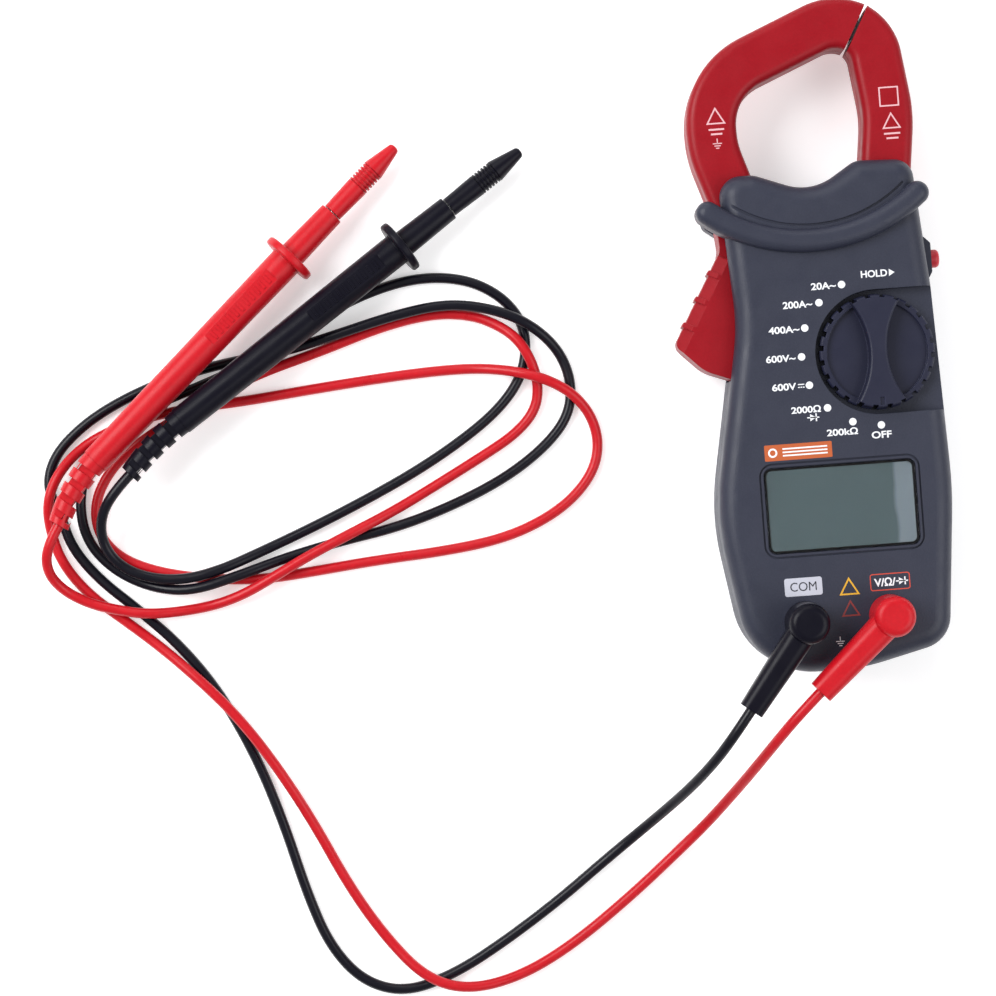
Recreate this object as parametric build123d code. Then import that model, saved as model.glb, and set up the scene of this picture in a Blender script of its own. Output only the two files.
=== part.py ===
from build123d import *
from math import cos, radians, sin, tan
import os

# Clamp meter with two test leads, in millimetres.
# Origin under the middle of the meter, +Y towards the jaws, +Z out of the dial side.

# Driving dimensions of the body
BODY_T = 30.0                # thickness of the case
PART_Z = BODY_T / 2          # height of the parting line
WALL = 2.2                   # case wall
SEAM = 0.35                  # groove where two halves meet
FRONT_ROUND = 5.0            # round of the dial side's edge
REAR_ROUND = 3.5             # round of the back's edge
GAP = 0.3                    # clearance round loose inner pieces
FIT = 0.05                   # radial clearance of a running fit

# Jaws
JAW_Z0, JAW_Z1 = 7.0, 23.0   # back and front of the jaws
JAW_W = 14.2                 # width of a jaw's section
JAW_ROUND = 2.6
CORE_W, CORE_T = 7.0, 9.4    # section of the laminated core
SLOT_Z0, SLOT_Z1 = 6.6, 23.4  # space that the jaws have in the case
PIVOT = (-18.0, 36.0)
PIN_R = 2.0
JAW_OPEN = 23                # degrees
GUARD_W, GUARD_TOP = 6.6, 33.4  # raised half-round crescent across the hood
GUARD_FRONT = [(-27.6, 35.9), (3.4, 26.2), (31.4, 37.3)]     # ends and middle of its centre line
GUARD_REAR = [(-24.8, 35.4), (3.4, 26.2), (31.4, 36.8)]
GUARD_GROOVE = [(-22.4, 38.8), (3.4, 30.6), (27.6, 40.6)]    # thin line along its upper side
SPLIT, SPLIT_ANGLE = (18.95, 86.1), 61.5
SPLIT_GAP, CORE_GAP = 0.9, 0.3  # between the jaws' covers, and between their cores
GRIP_CUT = 2.2               # depth of the trigger's sloping band below its edge
GRIP_RIB = 0.6               # height of its ribs

# Dial
DIAL = (17.1, -6.3)
KNOB_R = 16.2
KNOB_Z0, KNOB_Z1, BAR_TOP = 26.3, 29.6, 33.4
RECESS_R, RECESS_Z = 17.5, 26.0
NOTCHES = 24
KNOB_RIM = 2.0               # width of the rim round the two scoops
SCOOP_R, SCOOP_OFF = 24.2, 26.6
SHAFT_R, SHAFT_TOP = 3.5, 27.6  # ends under the floor of the scoops
STUB_R, STUB_TOP = 1.8, 31.0    # goes on into the bar

# Display
LENS_X, LENS_Y = (-17.2, 25.0), (-60.8, -37.0)
LENS_T = 1.6
PANEL_Z0 = 25.9              # back of the display panel

# Jacks and plugs
JACKS = {"black": (-8.8, -80.5), "red": (15.0, -80.3)}
PLUG_ARM = {"black": (232.5, 29.0), "red": (222.0, 29.3)}   # direction in degrees, reach
PLUG_TOP, ARM_Z = 44.5, 38.0
TUBE_R, TUBE_BORE = 3.0, 2.1

# Boards and the coil on the fixed core
PCB_Z0, PCB_Z1 = 16.4, 18.0
COIL_X = (-3.0, 15.0)

# Hold button in the right side
HOLD_Y = 19.5
HOLD_END = 38.3              # outer end of the button at rest

# Case screws, battery bay, door and cells
SCREWS = [(-24.6, -44.0), (29.6, -66.0), (29.8, -27.6), (27.5, 8.5)]
BAY_X, BAY_Y, BAY_Z = (-12.4, 12.4), (-72.0, -22.0), 14.2
DOOR_X, DOOR_Y = (-14.0, 14.0), (-78.4, -20.4)
DOOR_SCREW = (0.0, -75.4)
CELL_R, CELL_L = 5.2, 43.5
CELL_Y, CELL_Z = -47.0, 7.6
CELLS = {"battery_left": -6.0, "battery_right": 6.0}

# Probes: flange centre, direction of the handle, bend of the boot
PROBES = {"red": ((-147.0, 34.0), 42.4, 14.0), "black": ((-114.9, 34.9), 34.5, 8.0)}
FLANGE_R, FLANGE_T = 8.0, 2.4
PROBE_Z = FLANGE_R + 0.012    # axis at the flange, which rests on the table
PROBE_TILT = 3.4             # degrees; the handle lies on the cords
COLLAR_L, CAP_L, HANDLE_L, BOOT_L = 17.8, 26.7, 80.5, 21.0
BOOT_CUTS = 4                # rings of notches in a boot
CAP_R = 3.2
CAP_BODY, CAP_NECK, CAP_RIBS = 10.4, 6.4, 6
CAP_POINT = CAP_L - CAP_BODY - CAP_NECK - 0.4

# Cords
CORD_R = 1.5
FLOOR = CORD_R               # centre line of a cord on the table
OVER = 5.0                   # centre line of a cord that lies on another
CORD_GAP = 0.05              # between a cord and the piece it comes out of

# Plan of the case: corner points with their radii, from the left shoulder clockwise
CASE = [(-23.9, 46.2, 6), (-13.6, 46.1, 5.5), (2.3, 40.0, 15), (15.2, 48.1, 5.5),
        (31.0, 47.4, 5.5), (33.9, 12, 80), (35.9, -46, 120), (32.0, -88.9, 9.5),
        (6, -95.1, 60), (-24.0, -94.6, 21), (-31.2, -49, 70), (-21.3, 4, 60)]
# Centre lines of the jaws' arms, from the split down to the hinge
MOVING_ARM = [(22.3, 84.6), (12.6, 89.12), (-23.9, 73.9), (-24.1, 55.0), (-18.6, 38.0)]
MOVING_RADII = [14, 20, 30]
FIXED_ARM = [(15.3, 89.1), (23.6, 82.4), (26.4, 61.0), (22.8, 32.0)]
FIXED_RADII = [12, 40]
# Lever and trigger of the moving jaw
LEVER = [(-12.5, 42, 3), (-25.6, 41, 3), (-24.2, 25.5, 6), (-38.9, -0.1, 2.4), (-31, -8, 12),
         (-20, -12.2, 2), (-18.8, 8, 20), (-13.2, 28, 6)]

# Routes of the leads, from the plug's arm to the probe's boot
RED_ROUTE = [
    (-13.2, -105.7, 38.0), (-19.6, -113.2, 32.5), (-25.6, -121.0, 24.0),
    (-31.8, -128.9, 14.0), (-39.2, -137.4, 5.5), (-48.5, -145.8, FLOOR),
    (-62.0, -156.8, FLOOR), (-80.0, -169.8, FLOOR), (-96.0, -178.0, FLOOR),
    (-111.5, -180.3, OVER), (-123.5, -175.8, OVER), (-134.0, -164.0, FLOOR),
    (-143.5, -148.5, FLOOR), (-153.0, -128.0, FLOOR), (-163.0, -109.5, OVER),
    (-172.0, -96.5, OVER), (-181.0, -86.3, OVER), (-192.5, -75.3, FLOOR),
    (-203.0, -66.3, FLOOR), (-212.5, -58.4, FLOOR), (-219.4, -49.0, FLOOR),
    (-222.2, -39.6, FLOOR), (-222.2, -31.0, OVER), (-218.6, -23.0, OVER),
    (-212.0, -16.0, FLOOR), (-203.0, -11.5, FLOOR), (-192.0, -8.3, FLOOR),
    (-178.0, -6.6, FLOOR), (-163.0, -5.8, FLOOR), (-143.0, -3.8, FLOOR),
    (-122.0, -2.0, FLOOR), (-106.0, -1.2, FLOOR), (-95.5, -1.4, 2.2),
    (-87.5, -2.6, 5.0), (-80.6, -4.4, 6.9), (-74.2, -7.0, 6.9), (-68.0, -11.2, 5.2),
    (-63.4, -17.6, 2.2), (-61.8, -25.6, FLOOR), (-64.0, -33.6, FLOOR),
    (-70.6, -41.2, FLOOR), (-80.0, -47.0, FLOOR), (-92.0, -51.2, FLOOR),
    (-108.0, -53.4, FLOOR), (-128.0, -54.6, FLOOR), (-146.0, -56.4, FLOOR),
    (-162.0, -57.8, FLOOR), (-178.0, -56.4, FLOOR), (-192.0, -53.4, FLOOR),
    (-202.6, -48.6, FLOOR), (-208.6, -41.0, FLOOR), (-208.8, -31.6, FLOOR),
    (-203.6, -22.6, FLOOR), (-195.0, -15.6, FLOOR), (-183.0, -9.4, OVER),
    (-171.5, -3.6, OVER), (-158.0, 2.0, FLOOR), (-140.0, 7.0, FLOOR),
    (-122.0, 12.8, FLOOR), (-107.0, 15.4, FLOOR), (-96.0, 14.2, FLOOR),
    (-88.4, 10.6, 3.0), (-83.0, 6.0, OVER), (-79.6, -0.4, OVER), (-78.0, -7.8, 2.6),
    (-79.6, -15.0, FLOOR), (-86.0, -21.4, FLOOR), (-96.0, -27.0, FLOOR),
    (-110.0, -34.4, FLOOR), (-123.0, -41.0, FLOOR), (-135.0, -46.2, OVER),
    (-147.5, -51.6, OVER), (-158.5, -57.2, OVER), (-167.5, -61.6, 4.0),
    (-176.5, -64.2, FLOOR), (-186.0, -65.2, 2.6), (-195.5, -65.2, OVER), (-204.0, -63.4, OVER),
    (-212.2, -60.8, 5.4), (-219.2, -56.4, 7.0), (-222.8, -50.6, 11.0),
    (-221.9, -43.7, 14.2)]
BLACK_ROUTE = [
    (-31.2, -109.7, 38.0), (-36.8, -117.2, 32.0), (-43.6, -124.8, 23.0),
    (-51.0, -131.8, 13.0), (-59.0, -138.6, 5.0), (-69.0, -146.2, FLOOR),
    (-83.0, -156.6, FLOOR), (-99.0, -167.0, FLOOR), (-114.0, -175.4, FLOOR),
    (-129.0, -180.2, FLOOR), (-141.5, -176.2, FLOOR), (-150.5, -165.0, FLOOR),
    (-156.0, -149.0, FLOOR), (-161.0, -129.0, FLOOR), (-167.5, -109.0, FLOOR),
    (-176.5, -90.0, FLOOR), (-187.0, -75.2, FLOOR), (-198.5, -63.8, FLOOR),
    (-209.2, -54.2, FLOOR), (-216.4, -44.4, FLOOR), (-218.8, -35.2, FLOOR),
    (-222.4, -26.2, FLOOR), (-219.4, -17.4, FLOOR), (-211.0, -9.6, FLOOR),
    (-200.0, -3.4, FLOOR), (-186.0, 1.8, FLOOR), (-170.0, 5.4, FLOOR),
    (-152.0, 7.4, FLOOR), (-136.0, 11.0, OVER), (-118.0, 15.6, OVER),
    (-103.0, 17.8, OVER), (-90.0, 15.4, OVER), (-79.5, 10.4, OVER),
    (-71.6, 2.6, FLOOR), (-68.4, -7.0, FLOOR), (-69.8, -16.6, FLOOR),
    (-76.4, -24.6, FLOOR), (-88.0, -32.8, FLOOR), (-103.0, -39.6, FLOOR),
    (-121.0, -45.4, FLOOR), (-139.0, -48.4, FLOOR), (-155.0, -52.0, FLOOR),
    (-169.0, -56.2, OVER), (-183.0, -59.6, OVER), (-195.0, -57.4, FLOOR),
    (-205.0, -51.6, FLOOR), (-212.0, -42.8, FLOOR), (-213.4, -31.8, FLOOR),
    (-210.4, -21.0, FLOOR), (-203.5, -12.8, OVER), (-194.0, -6.6, OVER),
    (-181.0, -2.2, FLOOR), (-166.0, 2.6, OVER), (-154.0, 9.2, OVER),
    (-140.0, 16.6, FLOOR), (-126.0, 22.8, FLOOR), (-111.0, 26.2, FLOOR),
    (-97.0, 24.8, FLOOR), (-86.8, 19.0, FLOOR), (-81.2, 10.8, FLOOR),
    (-80.8, 2.0, FLOOR), (-83.6, -6.0, FLOOR), (-90.0, -13.6, FLOOR),
    (-100.0, -21.0, FLOOR), (-114.0, -29.2, FLOOR), (-130.0, -36.8, FLOOR),
    (-146.0, -43.6, FLOOR), (-161.0, -49.4, FLOOR), (-174.0, -54.2, OVER),
    (-185.5, -56.2, OVER), (-196.0, -54.4, OVER), (-203.2, -50.0, 5.6),
    (-206.8, -43.6, 7.4), (-206.2, -36.2, 11.4), (-201.7, -29.5, 14.2)]
ROUTES = {"red": RED_ROUTE, "black": BLACK_ROUTE}


def outline(corners):
    """Closed flat face from (x, y, radius) corners."""
    points = [(x, y) for x, y, _ in corners]
    return make_face(FilletPolyline(*points, radius=[r for _, _, r in corners], close=True))


def slab(face, z0, z1):
    """Straight extrusion of a flat face between two heights."""
    return extrude(Pos(0, 0, z0) * face, z1 - z0)


def box(x, y, z):
    """Box between the limits of three pairs."""
    size = (x[1] - x[0], y[1] - y[0], z[1] - z[0])
    return Pos((x[0] + x[1]) / 2, (y[0] + y[1]) / 2, (z[0] + z[1]) / 2) * Box(*size)


def post(at, radius, z0, z1, bore=0):
    """Upright cylinder, or tube where it has a bore."""
    solid = Pos(at[0], at[1], (z0 + z1) / 2) * Cylinder(radius, z1 - z0)
    if bore:
        solid -= Pos(at[0], at[1], (z0 + z1) / 2) * Cylinder(bore, z1 - z0 + 2)
    return solid


def plate(x, y, z, radius):
    """Flat plate with rounded corners."""
    face = Pos((x[0] + x[1]) / 2, (y[0] + y[1]) / 2) * RectangleRounded(x[1] - x[0], y[1] - y[0], radius)
    return slab(face, *z)


def grow(limits, margin):
    """Pair of limits moved apart by a margin at each end."""
    return (limits[0] - margin, limits[1] + margin)


def crescent(path, width, z0, z1):
    """Curved band with round ends."""
    ends = Part() + [post((p.X, p.Y), width / 2, z0, z1) for p in (path @ 0, path @ 1)]
    return slab(trace(path, width), z0, z1) + ends


def swept_bar(path, width, height, radius, middle_z):
    """Bar of a rounded rectangular section along a flat path."""
    section = RectangleRounded(height, width, radius) if radius else Rectangle(height, width)
    start = path @ 0
    frame = Plane(origin=(start.X, start.Y, middle_z), z_dir=path % 0, x_dir=(0, 0, 1))
    return sweep(frame * section, Pos(0, 0, middle_z) * path)


def write(name, solid):
    """Write one sub-part."""
    export_step(solid, f"parts/{name}.step")


os.makedirs("parts", exist_ok=True)

# ---- Jaws: arms, laminated cores, lever and trigger ----
jaw_h = JAW_Z1 - JAW_Z0
front_half = box((-80, 80), (-120, 120), (PART_Z, 60))
rear_half = box((-80, 80), (-120, 120), (-10, PART_Z))
split_frame = Pos(SPLIT[0], SPLIT[1], PART_Z) * Rot(0, 0, SPLIT_ANGLE - 90)
moving_path = FilletPolyline(*MOVING_ARM, radius=MOVING_RADII)
fixed_path = FilletPolyline(*FIXED_ARM, radius=FIXED_RADII)


def moving_trim(gap):
    """Space past the split, on the fixed jaw's side."""
    return split_frame * box((-gap / 2, 12), (-12, 12), (-20, 20))


def fixed_trim(gap):
    """Space past the split, on the moving jaw's side."""
    return split_frame * box((-12, gap / 2), (-12, 12), (-20, 20))


def jaw_bar(path, trim, width, height, radius=0):
    """Bar along an arm of the jaws, cut off at the split."""
    return swept_bar(path, width, height, radius, PART_Z) - trim


def seam(path):
    """Shallow groove round an arm, where its two halves meet."""
    return swept_bar(path, JAW_W + 1, SEAM, 0, PART_Z) - swept_bar(path, JAW_W - 2 * SEAM, 1, 0, PART_Z)


moving_arm = jaw_bar(moving_path, moving_trim(SPLIT_GAP), JAW_W, jaw_h, JAW_ROUND)
fixed_arm = jaw_bar(fixed_path, fixed_trim(SPLIT_GAP), JAW_W, jaw_h, JAW_ROUND)
moving_arm -= seam(moving_path)
fixed_arm -= seam(fixed_path)
moving_room = jaw_bar(moving_path, moving_trim(0), CORE_W + GAP, CORE_T + GAP)
fixed_room = jaw_bar(fixed_path, fixed_trim(0), CORE_W + GAP, CORE_T + GAP)
moving_core = jaw_bar(moving_path, moving_trim(CORE_GAP), CORE_W, CORE_T)
fixed_core = jaw_bar(fixed_path, fixed_trim(CORE_GAP), CORE_W, CORE_T)

# The trigger's outer edge has a sloping grip band on both sides, crossed by ribs
lever_face = outline(LEVER)
lever = slab(lever_face, JAW_Z0 + 1, JAW_Z1 - 1)
grip_from, grip_to = Vector(*LEVER[3][:2]), Vector(*LEVER[2][:2])
grip_run = (grip_to - grip_from).normalized()
grip_out = Vector(-grip_run.Y, grip_run.X)
grip_middle = (grip_from + grip_to) * 0.5 + Vector(0, 0, PART_Z)


def grip_band(side, raised):
    """Space outside the sloping band of one side."""
    lean = (grip_out + Vector(0, 0, side)).normalized()
    edge = grip_middle + Vector(0, 0, side * (jaw_h / 2 - 1))
    return Plane(origin=edge - lean * (GRIP_CUT - raised), z_dir=lean, x_dir=grip_run) * Pos(
        -4.2, 0, 4) * Box(36, 16, 8)


rib_frame = Plane(origin=grip_middle, z_dir=(0, 0, 1), x_dir=grip_run)
ribs = Part() + [rib_frame * Pos(x, GRIP_RIB - 2.5, 0) * Box(1.5, 5.0, jaw_h - 2) for x in (-8.2, 0.0, 8.2)]
for side in (1, -1):
    lever -= grip_band(side, 0.0)
    ribs -= grip_band(side, GRIP_RIB)
lever += ribs

boss = post(PIVOT, 6.4, JAW_Z0, JAW_Z1)
core_stop = box((-40, 40), (0, 44.6), (0, 30))
moving_core -= core_stop
moving_room -= core_stop
moving_body = moving_arm + lever + boss - moving_room - post(PIVOT, PIN_R + FIT, 0, 30)
write("moving_jaw_front", moving_body & front_half)
write("moving_jaw_rear", moving_body & rear_half)
write("moving_jaw_core", moving_core)

# The fixed core runs down the right arm and turns under the window
foot = outline([(26.6, 33, 0), (26.6, 24.5, 4), (-7.5, 24.5, 0), (-7.5, 31.5, 0),
                (19.4, 31.5, 1.5), (19.4, 33, 0)])
fixed_core -= box((-40, 60), (0, 33), (0, 30))
fixed_core += slab(foot, PART_Z - CORE_T / 2, PART_Z + CORE_T / 2)
fixed_body = fixed_arm - fixed_room - box((-40, 60), (0, 34), (0, 30))
write("fixed_jaw_front", fixed_body & front_half)
write("fixed_jaw_rear", fixed_body & rear_half)
write("fixed_jaw_core", fixed_core)

# Coil on the foot of the fixed core
hole = box((-20, 40), (24.5 - 0.2, 31.5 + 0.2), (PART_Z - CORE_T / 2 - 0.2, PART_Z + CORE_T / 2 + 0.2))
bobbin = box(COIL_X, (23.3, 32.7), (9.1, 20.9))
for x in (COIL_X[0], COIL_X[1] - 1.0):
    bobbin += box((x, x + 1.0), (21.6, 34.4), (7.6, 22.4))
winding = box((COIL_X[0] + 1.0, COIL_X[1] - 1.0), (22.0, 34.0), (8.0, 22.0))
winding = fillet(winding.edges().filter_by(Axis.X), 1.5)
winding -= box((-20, 40), (23.3, 32.7), (9.1, 20.9))
write("coil_bobbin", bobbin - hole)
write("coil_winding", winding)

# ---- Pivot pin and the trigger's spring ----
write("pivot_pin", post(PIVOT, PIN_R, 3.0, 27.0))
spring_y, spring_x0, spring_x1 = 20.0, -14.8, -6.6
spring = Pos((spring_x0 + spring_x1) / 2, spring_y, PART_Z) * Rot(0, 90, 0) * (
    Cylinder(2.6, spring_x1 - spring_x0) - Cylinder(1.9, spring_x1 - spring_x0 + 1))
write("trigger_spring", spring)

# ---- Case: front and rear covers ----
case_face = outline(CASE)
inner_face = offset(case_face, -WALL)
front = slab(case_face, PART_Z, BODY_T)
front = fillet(front.faces().sort_by(Axis.Z)[-1].edges(), FRONT_ROUND)
front = chamfer(front.faces().sort_by(Axis.Z)[0].edges(), SEAM)
rear = slab(case_face, 0, PART_Z)
rear = fillet(rear.faces().sort_by(Axis.Z)[0].edges(), REAR_ROUND)

# Guard across the hood, closed at the fixed jaw's side, and the bulge of the hold button
guard_front = crescent(ThreePointArc(*GUARD_FRONT), GUARD_W, SLOT_Z1, GUARD_TOP)
guard_front = fillet(guard_front.faces().sort_by(Axis.Z)[-1].edges(), GUARD_W / 2 - 0.5)
guard_rear = crescent(ThreePointArc(*GUARD_REAR), GUARD_W - 0.6, 0.0, SLOT_Z0)
guard_groove = crescent(ThreePointArc(*GUARD_GROOVE), 0.7, BODY_T - 0.6, BODY_T + 1)
guard_front += post(GUARD_FRONT[-1], GUARD_W / 2, PART_Z, SLOT_Z1)
guard_rear += post(GUARD_REAR[-1], GUARD_W / 2 - 0.3, SLOT_Z0, PART_Z)
bulge = slab(outline([(31, 27.5, 0), (33.2, 25.6, 1), (35.2, 23.6, 1), (35.2, 15.4, 1),
                      (34.0, 13.4, 1), (31, 11.5, 0)]), 8.0, 22.5)
front = front - guard_groove + guard_front + (bulge & front_half)
rear = rear + guard_rear + (bulge & rear_half)

# Inside of the covers: a deep tray below the hood, a flat slot for the jaws in it
tray = inner_face & (Pos(0, -40) * Rectangle(90, 126))
front -= slab(tray, PART_Z - 1, BODY_T - WALL)
rear -= slab(tray, WALL, PART_Z + 1)
hood = inner_face & (Pos(0, 36) * Rectangle(90, 26.2))
front -= slab(hood, PART_Z - 1, SLOT_Z1)
rear -= slab(hood, SLOT_Z0, PART_Z + 1)

# Floor of the dial's recess, open to the right side
recess = slab(Pos(*DIAL) * Circle(RECESS_R) + Pos(DIAL[0] + 15, DIAL[1]) * Rectangle(30, 2 * RECESS_R),
              RECESS_Z, BODY_T + 5)
recess_pad = slab(Pos(*DIAL) * Circle(RECESS_R + 2) + Pos(DIAL[0] + 10, DIAL[1])
                  * Rectangle(20, 2 * RECESS_R + 4), RECESS_Z - WALL, BODY_T - WALL)
recess_pad &= slab(inner_face, 0, BODY_T)
front = front + recess_pad - post(DIAL, SHAFT_R + FIT, 10, 40)

# Window of the display, with a seat for the lens and a moulded groove round it
seat = plate(grow(LENS_X, 0.3), grow(LENS_Y, 0.3), (BODY_T - LENS_T, BODY_T + 5), 2.3)
window = plate(grow(LENS_X, -0.5), grow(LENS_Y, -0.5), (20, BODY_T + 5), 1.6)
front_pad = plate(grow(LENS_X, 2.4), grow(LENS_Y, 2.4), (BODY_T - 4.0, BODY_T - WALL), 3)
groove = (plate(grow(LENS_X, 1.5), grow(LENS_Y, 1.5), (BODY_T - 0.6, BODY_T + 5), 3.8)
          - plate(grow(LENS_X, 1.0), grow(LENS_Y, 1.0), (BODY_T - 1, BODY_T + 6), 3.3))
front = front + front_pad - seat - window - groove

# Sockets for the plugs
for at in JACKS.values():
    front += post(at, 6.2, 19.6, BODY_T - WALL)
    front -= post(at, 4.5, 10, BODY_T + 5)

# Screw posts, and the screws' holes in the rear cover
for at in SCREWS:
    front = front + post(at, 3.0, PART_Z + 0.1, BODY_T - WALL) - post(at, 1.32, 10, 25)
    rear = rear + post(at, 4.2, WALL, PART_Z) - post(at, 1.6, -1, PART_Z + 1) - post(at, 2.9, -1, 3.4)

front -= recess

# Side hole of the hold button and the pin's seats
hold_hole = Pos(36, HOLD_Y, PART_Z) * Rot(0, 90, 0) * Cylinder(2.75, 12)
front -= hold_hole
rear -= hold_hole
front -= post(PIVOT, PIN_R + 0.01, 20, 27.05)
rear -= post(PIVOT, PIN_R + 0.01, 2.95, 10)

# Rib that the trigger's spring pushes against
rear += box((spring_x1 + 0.1, spring_x1 + 1.5), (spring_y - 4, spring_y + 4), (WALL, 19.0))

# Space that the moving jaw sweeps, at the height of the jaws
jaw_plan = trace(moving_path, JAW_W + 1.2) + offset(lever_face, 0.6) + Pos(*PIVOT) * Circle(7.0)
sweep_steps = 8
for i in range(sweep_steps + 1):
    turn = Pos(*PIVOT) * Rot(0, 0, JAW_OPEN * i / sweep_steps) * Pos(-PIVOT[0], -PIVOT[1])
    swing = slab(turn * jaw_plan, SLOT_Z0, SLOT_Z1)
    front -= swing
    rear -= swing
fixed_slot = slab(trace(fixed_path, JAW_W + 0.2), SLOT_Z0, SLOT_Z1)
front -= fixed_slot
rear -= fixed_slot

# Battery bay in the rear cover
rear += box(grow(BAY_X, 1.4), grow(BAY_Y, 1.4), (WALL, BAY_Z + 1.4))
rear -= box(BAY_X, BAY_Y, (-1, BAY_Z))
rear -= plate(grow(DOOR_X, 0.2), grow(DOOR_Y, 0.2), (-1, 2.1), 2.7)
rear = rear + post(DOOR_SCREW, 2.6, 2.1, 9.0) - post(DOOR_SCREW, 1.32, -1, 8)
write("front_cover", front)
write("rear_cover", rear)

# ---- Battery door with its grip grooves, and the screws ----
door = plate(DOOR_X, DOOR_Y, (0.3, 2.0), 2.5)
for k in range(5):
    groove_y = -27.2 + 1.5 * k
    door -= box((-7.0, 7.0), (groove_y, groove_y + 0.6), (-1, 0.6))
door = door - post(DOOR_SCREW, 1.6, -1, 3) - post(DOOR_SCREW, 1.75, -1, 0.6)
write("battery_door", door)
write("door_screw", post(DOOR_SCREW, 1.3, 0.6, 7.5) - Pos(*DOOR_SCREW, 0.6) * Box(2.2, 0.5, 1.4))
cross = Box(3.2, 0.7, 2.4) + Box(0.7, 3.2, 2.4)
screws = Part() + [post(at, 1.3, 3.2, 19.0) + post(at, 2.6, 1.0, 3.4) - Pos(*at, 1.0) * cross
                   for at in SCREWS]
write("case_screws", screws)

# ---- Two AAA cells, head to tail, and their contacts ----
for name, x in CELLS.items():
    can = Pos(x, CELL_Y, CELL_Z) * Rot(90, 0, 0) * Cylinder(CELL_R, CELL_L)
    nub_y = CELL_Y + (CELL_L / 2 + 0.5) * (1 if x < 0 else -1)
    can += Pos(x, nub_y, CELL_Z) * Rot(90, 0, 0) * Cylinder(1.9, 1.0)
    write(name, can)
contacts = Part() + [box((x - 4, x + 4), y, (4, 11.6)) for x in CELLS.values()
                     for y in ((-71.8, -71.4), (-22.6, -22.2))]
contacts += box((-2.1, 2.1), (-71.8, -71.4), (6, 9))
write("battery_contacts", contacts)

# ---- Electronics ----
pcb = plate((-26.0, 32.0), (-88.0, -16.0), (PCB_Z0, PCB_Z1), 3)
pcb += box((3.0, 27.6), (-16.5, 20.0), (PCB_Z0, PCB_Z1))
pcb &= slab(offset(inner_face, -0.6), 0, 30)
for at in SCREWS:
    pcb -= post(at, 3.3, 10, 20)
for at in JACKS.values():
    pcb -= post(at, TUBE_R + 0.1, 10, 20)
write("main_board", pcb - post(DIAL, SHAFT_R - 1.0, 10, 20))
for name, at in JACKS.items():
    tube = post(at, TUBE_R, 11.0, 26.0, TUBE_BORE) + post(at, 5.0, PCB_Z1, 19.2, TUBE_BORE)
    write(f"{name}_jack_tube", tube)
write("display_lens", plate(LENS_X, LENS_Y, (BODY_T - LENS_T, BODY_T - 0.2), 2.1))
write("display_panel", plate(grow(LENS_X, -0.6), grow(LENS_Y, -0.6), (PANEL_Z0, BODY_T - LENS_T - 0.1), 1.5))
holder = box(grow(LENS_X, 0.6), grow(LENS_Y, 0.6), (PCB_Z1, PANEL_Z0 - 0.1))
write("display_holder", holder - box(grow(LENS_X, -1.2), grow(LENS_Y, -1.2), (10, 30)))
write("zebra_strip", box((-12, 20), (-58.2, -56.2), (PCB_Z1, PANEL_Z0)))
chips = box((-4, 10), (-52, -41), (PCB_Z1, 20.2)) + box((-14, -8), (-50, -44), (PCB_Z1, 19.8))
chips += box((21, 30), (-42, -36), (PCB_Z1 - 3.2, PCB_Z0)) + box((16, 22), (-62, -56), (14.4, PCB_Z0))
write("measuring_chips", chips)
write("buzzer", post((-18.0, -68.6), 5.5, PCB_Z1, 22.6) - post((-18.0, -68.6), 0.8, 21, 30))
write("fuse_resistor", Pos(3.2, -68.0, 20.4) * Rot(0, 90, 0) * Cylinder(2.2, 11.0))

# ---- Dial ----
notches = Part() + [
    Pos(*DIAL) * Rot(0, 0, 360 * (i + 0.5) / NOTCHES) * Pos(KNOB_R, 0, 28)
    * Box(2.2, 1.5, 12) for i in range(NOTCHES)]
knob = post(DIAL, KNOB_R, KNOB_Z0, KNOB_Z1)
knob = chamfer(knob.faces().sort_by(Axis.Z)[-1].edges(), 0.5)
bar_face = Circle(KNOB_R - 0.4)
for side in (-1, 1):
    bar_face -= Pos(side * SCOOP_OFF, 0) * Circle(SCOOP_R)
bar = slab(Pos(*DIAL) * bar_face, KNOB_Z1 - 2.0, BAR_TOP)
bar = fillet(bar.faces().sort_by(Axis.Z)[-1].edges(), 0.7)
scoop_face = Circle(KNOB_R - KNOB_RIM) - bar_face
scoops = slab(Pos(*DIAL) * scoop_face, KNOB_Z1 - 1.3, BAR_TOP + 1)
dimple = Pos(DIAL[0], DIAL[1] - KNOB_R + 2.2, BAR_TOP) * Box(1.2, 2.2, 1.0)
shaft = post(DIAL, SHAFT_R, 20.4, SHAFT_TOP) + post(DIAL, STUB_R, SHAFT_TOP, STUB_TOP)
write("dial_knob", knob - scoops + bar - notches - dimple - shaft)
rotor = shaft + post(DIAL, 12.0, 20.4, 23.4)
pocket = Part() + [Pos(DIAL[0], DIAL[1] + s * 10.4, 22.0) * Rot(90, 0, 0) * Cylinder(1.3, 3.4)
                   for s in (-1, 1)]
write("dial_rotor", rotor - pocket)
balls = Part() + [Pos(DIAL[0], DIAL[1] + s * 11.4, 22.0) * Sphere(1.2) for s in (-1, 1)]
write("detent_balls", balls)
wipers = Part() + [
    Pos(*DIAL) * Rot(0, 0, a) * Pos(6.5, 0, 19.6) * Box(7.0, 1.6, 1.5) for a in (0, 120, 240)]
write("rotor_contacts", wipers)

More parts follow.
